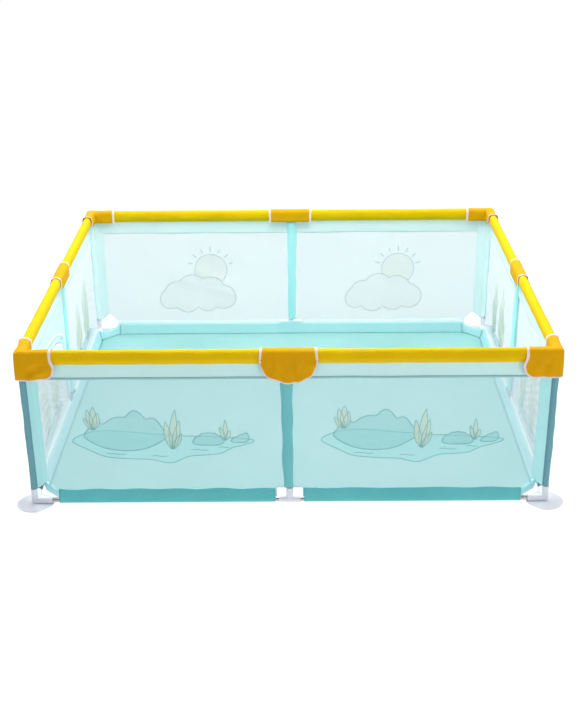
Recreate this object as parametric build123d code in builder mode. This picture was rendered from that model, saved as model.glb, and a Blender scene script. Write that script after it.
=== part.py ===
from build123d import *
import os

os.makedirs("parts", exist_ok=True)

# Playpen: a push-fit steel tube frame in plastic sockets, dressed with a sewn cloth cover.
# Origin on the floor at the middle of the plan. +X runs along the long side, the front is at -Y.

# Frame: axes of the corner posts and of the top and bottom tubes
post_spacing_x = 1950
post_spacing_y = 1750
bottom_tube_z = 20
top_tube_z = 612
half_x = post_spacing_x / 2
half_y = post_spacing_y / 2

# Tubes and the plastic sockets they push into
tube_radius = 9.5
tube_wall = 0.7
socket_radius = 13.5
socket_bore = tube_radius + 0.05
corner_arm = 66
corner_stub = 52
mid_arm = 41
mid_stub = 50
corner_seat = 30
mid_seat = 27
seat_gap = 1.5

# Feet: a dished plate with one straight edge, over a suction cup
foot_radius = 70
foot_chord = 60
foot_low = 3
foot_rim = 4
foot_rim_bevel = 1.5
foot_rim_slope = 3
foot_shoulder = 8
foot_crown = 10
cup_radius = 50
cup_rim = 4
cup_hollow = 1.3
cup_hollow_slope = 8
cup_lip = 0.9
cup_lip_slope = 6
cup_stem = 5
cup_stem_height = 4
cup_gap = 0.3

# Padded top rail
rail_width = 38
rail_height = 56
rail_round = 18
cloth = 1.2
cloth_gap = 0.5
rail_corner_gap = 70
rail_mid_gap = 45
rail_bottom_z = top_tube_z - rail_height / 2

# Sheets between the posts: the band under the rail, the net panels and the tube sleeves
panel_cloth = 1.4
skirt_depth = 60
corner_wing = 56
mid_wing = 21
sleeve_bore = tube_radius + 0.4
sleeve_low = 76
sleeve_high = 558
bottom_sleeve_top = 66
bottom_sleeve_corner_gap = 94
bottom_sleeve_mid_gap = 55
net_low = bottom_sleeve_top + cloth_gap
net_high = rail_bottom_z - cloth_gap - skirt_depth - cloth_gap
net_corner_cut = 38

# Covers over the corners and over the middle of each rail
cover_cloth = 1.5
cover_length = 112
corner_skirt_low = 532
corner_skirt_round = 42
corner_plan_round = 12
corner_top_round = 8
saddle_half = 100
flap_half = 105
flap_tip_z = 510
flap_side_z = 546
flap_hinge_z = 624
flap_gap = 0.9
flap_top_gap = 0.6
flap_lift = 0.1
flap_arc_at = 0.62
flap_arc_rise = 9

# Gate: an arched door with a zip around it, in the front bay of the left side
gate_sill_z = 75
gate_half_width = 365
gate_crown_z = 440
gate_arch_radius = 760
gate_corner_radius = 60
gate_sill_gap = 3
zip_gap = 0.8
zip_outer = 4
zip_sheet_gap = 0.4
zip_sill_gap = 0.5
zip_half_thickness = 1.6
slider_angle = 24.5
slider_length = 12
slider_half_thickness = 3.6
slider_width = 6.5
slider_overhang = 0.5
slider_slot_gap = 0.5
slider_round = 0.3
lug_length = 3
lug_thickness = 0.8
lug_over_pin = 1.6
lug_root = 0.2
pull_length = 24
pull_width = 4.4
pull_thickness = 1.2
eye_radius = 1.5
pin_radius = 0.8
pin_bore = 0.86
pin_height = 5.2

# Floor cloth
mat_inset = 24.5
mat_low = 1
mat_thickness = 3
mat_edge_top = 45
mat_edge_gap = 0.5
mat_edge_thickness = 1.6
mat_corner_cut = 80
mat_notch_half = 50
mat_notch_depth = 60
mat_edge_corner_gap = 100
mat_edge_mid_gap = 62

# Each side seen from outside: its plane has X along the side, Y up and Z outward
sides = {
    "front": (Plane((0, -half_y, 0), x_dir=(1, 0, 0), z_dir=(0, -1, 0)), half_x),
    "right": (Plane((half_x, 0, 0), x_dir=(0, 1, 0), z_dir=(1, 0, 0)), half_y),
    "back": (Plane((0, half_y, 0), x_dir=(-1, 0, 0), z_dir=(0, 1, 0)), half_x),
    "left": (Plane((-half_x, 0, 0), x_dir=(0, -1, 0), z_dir=(-1, 0, 0)), half_y),
}
corners = {"front_left": (-1, -1), "front_right": (1, -1), "back_right": (1, 1), "back_left": (-1, 1)}
bays = (-1, 1)


def save(part, name):
    """Label a finished piece and write it to its own file."""
    part.label = name
    export_step(part, f"parts/{name}.step")


def across(side, station, height=0.0):
    """Plane across a side at a station along it: X inward, Y up, Z along the side."""
    origin = side.from_local_coords(Vector(station, height, 0))
    return Plane(origin, x_dir=-side.z_dir, z_dir=side.x_dir)


def bay_span(half, bay, corner_gap, mid_gap):
    """Start and length of what fills one bay between a corner gap and a middle gap."""
    length = half - corner_gap - mid_gap
    start = mid_gap if bay > 0 else corner_gap - half
    return start, length


def tube_run(plane, length):
    """Thin-walled tube that starts on a plane."""
    with BuildPart() as tube:
        with BuildSketch(plane):
            Circle(tube_radius)
            Circle(tube_radius - tube_wall, mode=Mode.SUBTRACT)
        extrude(amount=length)
    return tube.part


def connector(centre, arms):
    """Round arms from one centre, each bored from its end for a tube."""
    with BuildPart() as sockets:
        for direction, length, seat in arms:
            with BuildSketch(Plane(centre, z_dir=direction)):
                Circle(socket_radius)
            extrude(amount=length)
        with Locations(centre):
            Sphere(socket_radius)
        for direction, length, seat in arms:
            with BuildSketch(Plane(centre + direction * length, z_dir=-direction)):
                Circle(socket_bore)
            extrude(amount=seat + seat_gap, mode=Mode.SUBTRACT)
    return sockets.part


def corner_directions(sign_x, sign_y):
    """Unit vectors from a corner along its two sides."""
    return Vector(-sign_x, 0, 0), Vector(0, -sign_y, 0)


# ---- Tubes ----
corner_tube_gap = corner_arm - corner_seat
mid_tube_gap = mid_arm - mid_seat
post_low = bottom_tube_z + corner_stub - corner_seat
post_high = top_tube_z - corner_stub + corner_seat
mid_post_low = bottom_tube_z + mid_stub - mid_seat
mid_post_high = top_tube_z - mid_stub + mid_seat

for level, height in (("top", top_tube_z), ("bottom", bottom_tube_z)):
    for name, (side, half) in sides.items():
        runs = []
        for bay in bays:
            start, length = bay_span(half, bay, corner_tube_gap, mid_tube_gap)
            runs.append(tube_run(across(side, start, height), length))
        with BuildPart() as rail_tubes:
            add(runs)
        save(rail_tubes.part, f"{level}_tubes_{name}")

for corner, (sign_x, sign_y) in corners.items():
    with BuildPart() as corner_post:
        with BuildSketch(Plane((sign_x * half_x, sign_y * half_y, post_low))):
            Circle(tube_radius)
            Circle(tube_radius - tube_wall, mode=Mode.SUBTRACT)
        extrude(amount=post_high - post_low)
    save(corner_post.part, f"corner_post_{corner}")

with BuildPart() as mid_posts:
    for side, _ in sides.values():
        with BuildSketch(Plane(side.origin + Vector(0, 0, mid_post_low))):
            Circle(tube_radius)
            Circle(tube_radius - tube_wall, mode=Mode.SUBTRACT)
        extrude(amount=mid_post_high - mid_post_low)
save(mid_posts.part, "mid_posts")

# ---- Plastic connectors ----
up = Vector(0, 0, 1)
for corner, (sign_x, sign_y) in corners.items():
    along_x, along_y = corner_directions(sign_x, sign_y)
    top_centre = Vector(sign_x * half_x, sign_y * half_y, top_tube_z)
    top_corner_connector = connector(top_centre, [
        (along_x, corner_arm, corner_seat),
        (along_y, corner_arm, corner_seat),
        (-up, corner_stub, corner_seat),
    ])
    save(top_corner_connector, f"top_corner_connector_{corner}")

    foot_centre = Vector(sign_x * half_x, sign_y * half_y, 0)
    chord_direction = Vector(-sign_x, sign_y, 0).normalized()
    foot_sockets = connector(foot_centre + up * bottom_tube_z, [
        (along_x, corner_arm, corner_seat),
        (along_y, corner_arm, corner_seat),
        (up, corner_stub, corner_seat),
    ])
    with BuildPart() as foot_connector:
        with BuildSketch(Plane(foot_centre, x_dir=(1, 0, 0), z_dir=(0, -1, 0))):
            with BuildLine():
                Polyline((0, foot_low), (foot_radius - foot_rim_bevel, foot_low),
                         (foot_radius, foot_low + foot_rim_bevel),
                         (foot_radius, foot_low + foot_rim),
                         (foot_radius - foot_rim_slope, foot_low + foot_rim + foot_rim_bevel),
                         (socket_radius + foot_shoulder, foot_crown), (0, foot_crown), close=True)
            make_face()
        revolve(axis=Axis(foot_centre, (0, 0, 1)))
        with BuildSketch(Plane(foot_centre + chord_direction * (foot_chord + foot_radius))):
            Rectangle(2 * foot_radius, 3 * foot_radius, rotation=-45 * sign_x * sign_y)
        extrude(amount=2 * foot_crown, mode=Mode.SUBTRACT)
        add(foot_sockets)
        with BuildSketch(Plane(foot_centre)):
            Circle(cup_stem + cup_gap)
        extrude(amount=foot_low + cup_stem_height + 1, mode=Mode.SUBTRACT)
    save(foot_connector.part, f"foot_connector_{corner}")

with BuildPart() as suction_cups:
    for sign_x, sign_y in corners.values():
        foot_centre = Vector(sign_x * half_x, sign_y * half_y, 0)
        with BuildSketch(Plane(foot_centre, x_dir=(1, 0, 0), z_dir=(0, -1, 0))):
            with BuildLine():
                Polyline((0, cup_hollow), (cup_radius - cup_rim - cup_hollow_slope, cup_hollow),
                         (cup_radius - cup_rim, 0), (cup_radius, 0), (cup_radius, cup_lip),
                         (cup_radius - cup_lip_slope, foot_low - cup_gap), (cup_stem, foot_low - cup_gap),
                         (cup_stem, foot_low + cup_stem_height), (0, foot_low + cup_stem_height),
                         close=True)
            make_face()
        revolve(axis=Axis(foot_centre, (0, 0, 1)))
save(suction_cups.part, "suction_cups")

for level, height, stub in (("top", top_tube_z, -up), ("bottom", bottom_tube_z, up)):
    for name, (side, _) in sides.items():
        mid_connector = connector(side.origin + up * height, [
            (side.x_dir, mid_arm, mid_seat),
            (-side.x_dir, mid_arm, mid_seat),
            (stub, mid_stub, mid_seat),
        ])
        save(mid_connector, f"{level}_mid_connector_{name}")

# ---- Padded rails ----
foam_clear = cloth + cloth_gap
with BuildPart() as rail_foam:
    for side, half in sides.values():
        for bay in bays:
            start, length = bay_span(half, bay, rail_corner_gap, rail_mid_gap)
            with BuildSketch(across(side, start, top_tube_z)):
                RectangleRounded(rail_width - 2 * foam_clear, rail_height - 2 * foam_clear,
                                 rail_round - foam_clear)
                Circle(tube_radius + cloth_gap, mode=Mode.SUBTRACT)
            extrude(amount=length)
save(rail_foam.part, "rail_foam")

for name, (side, half) in sides.items():
    with BuildPart() as rail_sleeve:
        for bay in bays:
            start, length = bay_span(half, bay, rail_corner_gap, rail_mid_gap)
            with BuildSketch(across(side, start, top_tube_z)):
                RectangleRounded(rail_width, rail_height, rail_round)
                RectangleRounded(rail_width - 2 * cloth, rail_height - 2 * cloth,
                                 rail_round - cloth, mode=Mode.SUBTRACT)
            extrude(amount=length)
    save(rail_sleeve.part, f"rail_sleeve_{name}")

with BuildPart() as rail_skirts:
    for side, half in sides.values():
        for bay in bays:
            start, length = bay_span(half, bay, corner_wing + cloth_gap, mid_wing + cloth_gap)
            with BuildSketch(side.offset(-panel_cloth / 2)):
                with Locations((start + length / 2, rail_bottom_z - cloth_gap)):
                    Rectangle(length, skirt_depth, align=(Align.CENTER, Align.MAX))
            extrude(amount=panel_cloth)
save(rail_skirts.part, "rail_skirts")


# ---- Net panels and the gate ----
def panel_outline(half, bay):
    """Panel between post sleeves, its lower outer corner cut off past the foot connector."""
    inner = bay * (mid_wing + cloth_gap)
    outer = bay * (half - corner_wing - cloth_gap)
    with BuildSketch() as outline:
        with BuildLine():
            Polyline((inner, net_low), (outer - bay * net_corner_cut, net_low),
                     (outer, net_low + net_corner_cut), (outer, net_high), (inner, net_high), close=True)
        make_face()
    return outline.sketch_local


for name in ("front", "right", "back"):
    side, half = sides[name]
    with BuildPart() as net_panels:
        for bay in bays:
            with BuildSketch(side.offset(-panel_cloth / 2)):
                add(panel_outline(half, bay))
            extrude(amount=panel_cloth)
    save(net_panels.part, f"net_panels_{name}")

left_side = sides["left"][0]
with BuildPart() as net_panel_left:
    with BuildSketch(left_side.offset(-panel_cloth / 2)):
        add(panel_outline(half_y, -1))
    extrude(amount=panel_cloth)
save(net_panel_left.part, "net_panel_left_rear")

gate_start, gate_length = bay_span(half_y, 1, corner_wing + cloth_gap, mid_wing + cloth_gap)
gate_middle = gate_start + gate_length / 2
arch_centre_z = gate_crown_z - gate_arch_radius


def gate_outline(grow, low):
    """Arched door outline at a distance from the zip line: a rectangle under one wide arc."""
    height = gate_crown_z + grow - low
    with BuildSketch() as arch:
        with Locations((gate_middle, low)):
            Rectangle(2 * (gate_half_width + grow), height, align=(Align.CENTER, Align.MIN))
        with Locations((gate_middle, arch_centre_z)):
            Circle(gate_arch_radius + grow, mode=Mode.INTERSECT)
        fillet(arch.vertices().group_by(Axis.Y)[-1], gate_corner_radius + grow)
    return arch.sketch_local


def gate_ring(near, far, low):
    """Strip that follows the zip line between two distances from it."""
    return gate_outline(far, low) - gate_outline(near, low)


door_low = gate_sill_z + zip_sill_gap
surround_cut = gate_outline(zip_outer + zip_sheet_gap, gate_sill_z - gate_sill_gap)
door_outline = gate_outline(-zip_outer - zip_sheet_gap, door_low)
fixed_bead_outline = gate_ring(zip_gap, zip_outer, door_low)
door_bead_outline = gate_ring(-zip_outer, -zip_gap, door_low)

with BuildPart() as gate_surround:
    with BuildSketch(left_side.offset(-panel_cloth / 2)):
        add(panel_outline(half_y, 1))
        add(surround_cut, mode=Mode.SUBTRACT)
    extrude(amount=panel_cloth)
save(gate_surround.part, "gate_surround")

for name, outline, half_thickness in (
    ("gate_door", door_outline, panel_cloth / 2),
    ("zip_track_frame", fixed_bead_outline, zip_half_thickness),
    ("zip_track_door", door_bead_outline, zip_half_thickness),
):
    with BuildPart() as gate_piece:
        with BuildSketch(left_side.offset(-half_thickness)):
            add(outline)
        extrude(amount=2 * half_thickness)
    save(gate_piece.part, name)

# The slider clasps the frame's half of the zip, at the end of the arch nearer the middle post
arch_centre = left_side.from_local_coords(Vector(gate_middle, arch_centre_z, 0))
outward = Axis(arch_centre, left_side.z_dir)
# The lug below the pull sits just past the zip's line
lug_middle = gate_arch_radius + lug_root / 2
slider_plane = Plane(arch_centre, x_dir=left_side.x_dir.rotate(outward, slider_angle), z_dir=left_side.z_dir)
with BuildPart() as zip_slider:
    with BuildSketch(slider_plane.offset(-slider_half_thickness)):
        with Locations((0, gate_arch_radius - slider_overhang)):
            Rectangle(slider_length, slider_width + slider_overhang, align=(Align.CENTER, Align.MIN))
    extrude(amount=2 * slider_half_thickness)
    fillet(zip_slider.edges().filter_by(outward), slider_round)
    with BuildSketch(slider_plane.offset(-zip_half_thickness - slider_slot_gap)):
        with Locations((0, gate_arch_radius + slider_overhang)):
            Rectangle(2 * slider_length, 2 * slider_width, align=(Align.CENTER, Align.MIN))
    extrude(amount=2 * (zip_half_thickness + slider_slot_gap), mode=Mode.SUBTRACT)
    # Two lugs with the pull's pin between them
    with BuildSketch(slider_plane.offset(slider_half_thickness - lug_root)):
        with Locations((0, lug_middle), (0, lug_middle + slider_width - lug_thickness)):
            Rectangle(lug_length, lug_thickness)
    extrude(amount=pin_height - slider_half_thickness + lug_over_pin)
    pin_start = slider_plane.from_local_coords(Vector(0, lug_middle - lug_root, pin_height))
    with BuildSketch(Plane(pin_start, z_dir=slider_plane.y_dir)):
        Circle(pin_radius)
    extrude(amount=slider_width - 2 * lug_root)
save(zip_slider.part, "zip_slider")

pull_middle = lug_middle + (slider_width - lug_thickness) / 2
eye_start = slider_plane.from_local_coords(Vector(0, pull_middle - pull_width / 2, pin_height))
with BuildPart() as zip_pull:
    with BuildSketch(slider_plane.offset(pin_height - pull_thickness / 2)):
        with Locations((-pull_length / 2, pull_middle)):
            RectangleRounded(pull_length, pull_width, pull_thickness)
    extrude(amount=pull_thickness)
    with BuildSketch(Plane(eye_start, z_dir=slider_plane.y_dir)):
        Circle(eye_radius)
    extrude(amount=pull_width)
    with BuildSketch(Plane(eye_start, z_dir=slider_plane.y_dir)):
        Circle(pin_bore)
    extrude(amount=pull_width, mode=Mode.SUBTRACT)
save(zip_pull.part, "zip_pull")

# ---- Sleeves on the posts and on the bottom tubes ----
wing = panel_cloth / 2
with BuildPart() as corner_post_sleeves:
    for sign_x, sign_y in corners.values():
        axis_point = Vector(sign_x * half_x, sign_y * half_y, sleeve_low)
        with BuildSketch(Plane(axis_point)):
            Circle(sleeve_bore + cloth)
            with Locations((-sign_x * corner_wing / 2, 0)):
                Rectangle(corner_wing, 2 * wing)
            with Locations((0, -sign_y * corner_wing / 2)):
                Rectangle(2 * wing, corner_wing)
            Circle(sleeve_bore, mode=Mode.SUBTRACT)
        extrude(amount=sleeve_high - sleeve_low)
save(corner_post_sleeves.part, "corner_post_sleeves")

with BuildPart() as mid_post_sleeves:
    for side, half in sides.values():
        turn = 0 if half == half_x else 90
        with BuildSketch(Plane(side.origin + up * sleeve_low)):
            Circle(sleeve_bore + cloth)
            Rectangle(2 * mid_wing, 2 * wing, rotation=turn)
            Circle(sleeve_bore, mode=Mode.SUBTRACT)
        extrude(amount=sleeve_high - sleeve_low)
save(mid_post_sleeves.part, "mid_post_sleeves")


def teardrop(radius, top):
    """Hull of a round bottom about the tube and a small round top."""
    with BuildSketch() as drop:
        with Locations((0, bottom_tube_z)):
            Circle(radius)
        with Locations((0, top - radius / 5)):
            Circle(radius / 5)
        make_hull()
    return drop.sketch_local


with BuildPart() as bottom_sleeves:
    for side, half in sides.values():
        for bay in bays:
            start, length = bay_span(half, bay, bottom_sleeve_corner_gap, bottom_sleeve_mid_gap)
            with BuildSketch(across(side, start)):
                add(teardrop(sleeve_bore + cloth, bottom_sleeve_top))
                add(teardrop(sleeve_bore, bottom_sleeve_top - 2 * cloth), mode=Mode.SUBTRACT)
            extrude(amount=length)
save(bottom_sleeves.part, "bottom_sleeves")

# ---- Floor cloth ----
with BuildPart() as base_mat:
    with BuildSketch(Plane.XY.offset(mat_low)) as mat_plan:
        Rectangle(2 * (half_x - mat_inset), 2 * (half_y - mat_inset))
        chamfer(mat_plan.vertices(), mat_corner_cut)
        with Locations((0, half_y - mat_inset), (0, mat_inset - half_y)):
            Rectangle(2 * mat_notch_half, 2 * mat_notch_depth, mode=Mode.SUBTRACT)
        with Locations((half_x - mat_inset, 0), (mat_inset - half_x, 0)):
            Rectangle(2 * mat_notch_depth, 2 * mat_notch_half, mode=Mode.SUBTRACT)
    extrude(amount=mat_thickness)
save(base_mat.part, "base_mat")

with BuildPart() as mat_edges:
    for side, half in sides.values():
        for bay in bays:
            start, length = bay_span(half, bay, mat_edge_corner_gap, mat_edge_mid_gap)
            with BuildSketch(across(side, start)):
                with BuildLine():
                    Polyline((mat_inset - mat_edge_gap, mat_low),
                             (mat_inset - mat_edge_gap - mat_edge_thickness, mat_low),
                             (socket_radius, mat_edge_top),
                             (socket_radius + mat_edge_thickness, mat_edge_top), close=True)
                make_face()
            extrude(amount=length)
save(mat_edges.part, "mat_edges")

# ---- Corner covers ----
cover_inner = rail_width / 2 + cloth_gap
cover_outer = cover_inner + cover_cloth
cover_top = top_tube_z + rail_height / 2 + cloth_gap + cover_cloth


def elbow(half_width, reach, low, high, top_round):
    """Two rail-wide arms that meet at the corner, with a rounded top, in the corner's frame."""
    with BuildPart() as arms:
        with BuildSketch(Plane.XY.offset(low)):
            with Locations((-half_width, -half_width)):
                Rectangle(reach + half_width, 2 * half_width, align=(Align.MIN, Align.MIN))
                Rectangle(2 * half_width, reach + half_width, align=(Align.MIN, Align.MIN))
        extrude(amount=high - low)
        outer_corner = arms.edges().filter_by(Axis.Z).sort_by_distance((-half_width, -half_width, high))[0]
        fillet(outer_corner, corner_plan_round)
        top_edges = arms.faces().sort_by(Axis.Z)[-1].edges()
        ends = [edge for edge in top_edges if max(edge.center().X, edge.center().Y) > reach - 1]
        fillet([edge for edge in top_edges if edge not in ends], top_round)
    return arms.part


overlap = 2
cover_skin = elbow(cover_outer, cover_length, corner_skirt_low, cover_top, corner_top_round)
cover_hollow = elbow(cover_inner, cover_length + overlap, corner_skirt_low - overlap,
                     cover_top - cover_cloth, corner_top_round - cover_cloth)

for index, (corner, (sign_x, sign_y)) in enumerate(corners.items()):
    with BuildPart() as corner_cover:
        add(cover_skin)
        add(cover_hollow, mode=Mode.SUBTRACT)
        # The inner walls stop at the underside of the rail
        with BuildSketch(Plane.XY.offset(corner_skirt_low - overlap)):
            with Locations((cover_inner - 2 * cover_cloth, cover_inner - 2 * cover_cloth)):
                Rectangle(cover_length, cover_length, align=(Align.MIN, Align.MIN))
        extrude(amount=rail_bottom_z - corner_skirt_low + overlap, mode=Mode.SUBTRACT)
        low_ends = corner_cover.edges().filter_by(
            lambda edge: edge.length < 2 * cover_cloth
            and edge.center().Z < corner_skirt_low + 1
            and max(edge.center().X, edge.center().Y) > cover_length - 1
        )
        fillet(low_ends, corner_skirt_round)
    spot = Location((sign_x * half_x, sign_y * half_y, 0), (0, 0, 90 * index))
    placed_cover = spot * corner_cover.part
    save(placed_cover, f"corner_cover_{corner}")

# ---- Middle covers: a saddle over the rail and a shield flap that lifts off its outer face ----
saddle_half_height = cover_top - top_tube_z


def saddle_outline(half_width, half_height, round_off):
    """Arch over the rail, in the rail's section: a rounded top on straight sides."""
    with BuildSketch() as arch:
        RectangleRounded(2 * half_width, 2 * half_height, round_off)
        Rectangle(2 * half_width, half_height, align=(Align.CENTER, Align.MAX))
    return arch.sketch_local


with BuildPart() as mid_cover_saddles:
    for side, _ in sides.values():
        with BuildSketch(across(side, -saddle_half, top_tube_z)):
            add(saddle_outline(cover_outer, saddle_half_height, rail_round + cover_cloth))
            add(saddle_outline(cover_inner, saddle_half_height - cover_cloth, rail_round),
                mode=Mode.SUBTRACT)
            # The outer wall stops above the flap, the inner one at the underside of the rail
            with Locations((0, flap_hinge_z + flap_gap - top_tube_z)):
                Rectangle(2 * cover_outer, 2 * rail_height, align=(Align.MAX, Align.MAX),
                          mode=Mode.SUBTRACT)
            with Locations((0, rail_bottom_z - top_tube_z)):
                Rectangle(2 * cover_outer, rail_height, align=(Align.MIN, Align.MAX),
                          mode=Mode.SUBTRACT)
        extrude(amount=2 * saddle_half)
save(mid_cover_saddles.part, "mid_cover_saddles")

flap_low = cover_outer - cover_cloth + flap_lift
flap_top_z = flap_hinge_z - flap_top_gap
arc_x, arc_z = flap_arc_at * flap_half, flap_tip_z + flap_arc_rise
for name, (side, _) in sides.items():
    with BuildPart() as mid_cover_flap:
        with BuildSketch(side.offset(flap_low)):
            with BuildLine():
                Polyline((-flap_half, flap_side_z), (-flap_half, flap_top_z),
                         (flap_half, flap_top_z), (flap_half, flap_side_z))
                ThreePointArc((flap_half, flap_side_z), (arc_x, arc_z), (0, flap_tip_z))
                ThreePointArc((0, flap_tip_z), (-arc_x, arc_z), (-flap_half, flap_side_z))
            make_face()
        extrude(amount=cover_cloth - flap_lift)
    save(mid_cover_flap.part, f"mid_cover_flap_{name}")
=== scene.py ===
import math

import bpy
import numpy as np
from mathutils import Matrix, Vector


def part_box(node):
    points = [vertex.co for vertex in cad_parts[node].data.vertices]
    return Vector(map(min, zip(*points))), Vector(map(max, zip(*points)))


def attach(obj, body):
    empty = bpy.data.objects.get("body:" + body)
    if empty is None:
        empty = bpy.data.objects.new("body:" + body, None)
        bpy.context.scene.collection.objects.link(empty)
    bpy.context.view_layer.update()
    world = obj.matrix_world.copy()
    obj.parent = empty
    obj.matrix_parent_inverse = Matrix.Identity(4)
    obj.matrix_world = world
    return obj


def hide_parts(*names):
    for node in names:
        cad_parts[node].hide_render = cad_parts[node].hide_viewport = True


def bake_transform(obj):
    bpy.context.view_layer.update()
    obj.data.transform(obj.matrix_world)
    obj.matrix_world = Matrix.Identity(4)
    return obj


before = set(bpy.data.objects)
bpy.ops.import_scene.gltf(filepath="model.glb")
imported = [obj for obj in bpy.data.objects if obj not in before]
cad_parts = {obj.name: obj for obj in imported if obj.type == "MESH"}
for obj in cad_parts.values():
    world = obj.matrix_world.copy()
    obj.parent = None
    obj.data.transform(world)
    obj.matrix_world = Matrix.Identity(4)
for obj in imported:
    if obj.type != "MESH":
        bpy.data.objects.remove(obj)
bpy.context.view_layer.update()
print("frame loaded:", len(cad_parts), "nodes")

up = np.array([0.0, 0.0, 1.0])
turn = 2 * math.pi


# ---- measures read from the frame ----
def middleOf(node):
    low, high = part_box(node)
    return (np.array(low) + np.array(high)) / 2


def levels(node):
    low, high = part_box(node)
    return low[2], high[2]


postX, postY = middleOf("corner_post_back_right")[:2]
topZ = middleOf("top_tubes_front")[2]
lowZ = middleOf("bottom_tubes_front")[2]
tubeRadius = topZ - levels("top_tubes_front")[0]
railLow, railHigh = levels("rail_sleeve_front")
skirtLow, skirtHigh = levels("rail_skirts")
netLow, netHigh = levels("net_panels_front")
postSleeveLow, postSleeveHigh = levels("corner_post_sleeves")
bottomSleeveLow, bottomSleeveHigh = levels("bottom_sleeves")
coverLow, coverHigh = levels("corner_cover_front_left")
flapTip, flapHinge = levels("mid_cover_flap_front")
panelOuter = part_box("net_panels_front")[1][0]
# the sewn wing of a corner sleeve stops short of where the flat part ends
cornerWing = postX - panelOuter - 0.002


class Side:
    # one side seen from outside: s runs along it to the right, h is the height, n points outward
    def __init__(self, along, outward, half, reach):
        self.half, self.reach = half, reach
        self.along, self.outward = np.array(along, float), np.array(outward, float)

    def at(self, s, h, n):
        s, h, n = (np.asarray(v, float)[..., None] for v in np.broadcast_arrays(s, h, n))
        return s * self.along + (self.reach + n) * self.outward + h * up


sides = {
    "front": Side((1, 0, 0), (0, -1, 0), postX, postY),
    "right": Side((0, 1, 0), (1, 0, 0), postY, postX),
    "back": Side((-1, 0, 0), (0, 1, 0), postX, postY),
    "left": Side((0, -1, 0), (-1, 0, 0), postY, postX),
}
corners = {"front_left": (-1, -1), "front_right": (1, -1), "back_right": (1, 1), "back_left": (-1, 1)}


# ---- numbers on grids ----
def unit(vectors):
    return vectors / np.maximum(np.linalg.norm(vectors, axis=-1, keepdims=True), 1e-12)


def ease(x, stops, values):
    # between two stops the value follows 3t squared minus 2t cubed
    index = np.clip(np.searchsorted(stops, x) - 1, 0, len(stops) - 2)
    stops, values = np.asarray(stops, float), np.asarray(values, float)
    t = np.clip((x - stops[index]) / (stops[index + 1] - stops[index]), 0, 1)
    return values[index] + (values[index + 1] - values[index]) * t * t * (3 - 2 * t)


def ramp(x, start, end):
    t = np.clip((x - start) / (end - start), 0, 1)
    return t * t * (3 - 2 * t)


def ripples(a, b, seed, waves, count=5):
    # a sum of sines of a and b, with seeded directions, lengths and phases, about 1 high
    draw = np.random.default_rng(seed)
    total = 0
    for _ in range(count):
        fa, fb = draw.uniform(0.5, 1.5, 2) * waves * draw.choice([-1, 1], 2)
        total = total + np.sin(turn * (fa * a + fb * b + draw.random()))
    return total / math.sqrt(count)


def lengths(path):
    step = np.linalg.norm(np.diff(path, axis=0), axis=-1)
    return np.concatenate([[0], np.cumsum(step)])


def gridNormals(points, wrapB=False):
    alongA = np.gradient(points, axis=0)
    if wrapB:
        alongB = np.roll(points, -1, 1) - np.roll(points, 1, 1)
    else:
        alongB = np.gradient(points, axis=1)
    return unit(np.cross(alongA, alongB))


def grid(points, uv=None, wrapA=False, wrapB=False, caps=False, finish=0, keep=None):
    # faces look along a cross b; uv defaults to the distances along both ways, in metres; finish is a
    # number, or one for each column
    if uv is None:
        rows = np.concatenate([points, points[:1]]) if wrapA else points
        rows = np.concatenate([rows, rows[:, :1]], 1) if wrapB else rows
        stepA = np.linalg.norm(np.diff(rows, axis=0), axis=-1)
        stepB = np.linalg.norm(np.diff(rows, axis=1), axis=-1)
        u = np.zeros(rows.shape[:2])
        v = np.zeros(rows.shape[:2])
        u[1:] = np.cumsum(stepA, 0).mean(1, keepdims=True)
        v[:, 1:] = np.cumsum(stepB, 1)
        uv = np.stack([u, v], -1)
    return {"points": points, "uv": uv, "wrapA": wrapA, "wrapB": wrapB, "caps": caps,
            "finish": finish, "keep": keep}


def build(name, grids, finishes):
    # joins grids into one mesh with its UV map in metres
    points, faces, loops, which = [], [], [], []
    base = 0
    for g in grids:
        rows, columns = g["points"].shape[:2]
        index = np.arange(rows * columns).reshape(rows, columns) + base
        a = np.arange(rows if g["wrapA"] else rows - 1)[:, None]
        b = np.arange(columns if g["wrapB"] else columns - 1)[None]
        nextA, nextB = (a + 1) % rows, (b + 1) % columns
        keep = slice(None) if g["keep"] is None else g["keep"].ravel()
        quads = np.stack(np.broadcast_arrays(index[a, b], index[nextA, b], index[nextA, nextB],
                                             index[a, nextB]), -1).reshape(-1, 4)[keep]
        uv = g["uv"]
        corner = np.stack([uv[a, b], uv[a + 1, b], uv[a + 1, b + 1], uv[a, b + 1]], -2)
        finish = np.broadcast_to(g["finish"], np.broadcast(a, b).shape).ravel()[keep]
        loops.append(corner.reshape(-1, 4, 2)[keep].reshape(-1, 2))
        ends = []
        if g["caps"]:
            ends = [index[0, ::-1].tolist(), index[-1].tolist()]
            loops += [uv[0, columns - 1::-1][:columns], uv[-1, :columns]]
        faces += quads.tolist() + ends
        which += finish.tolist() + [int(finish[0])] * len(ends)
        points.append(g["points"].reshape(-1, 3))
        base += rows * columns
    mesh = bpy.data.meshes.new(name)
    mesh.from_pydata(np.concatenate(points).tolist(), [], faces)
    layer = mesh.uv_layers.new(name="UVMap")
    layer.data.foreach_set("uv", np.concatenate(loops).ravel().astype(np.float32))
    mesh.polygons.foreach_set("use_smooth", [True] * len(faces))
    for finish in finishes:
        mesh.materials.append(finish)
    mesh.polygons.foreach_set("material_index", which)
    mesh.update()
    piece = bpy.data.objects.new(name, mesh)
    bpy.context.scene.collection.objects.link(piece)
    return piece


def place(piece, body, slot):
    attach(piece, body)


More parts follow.
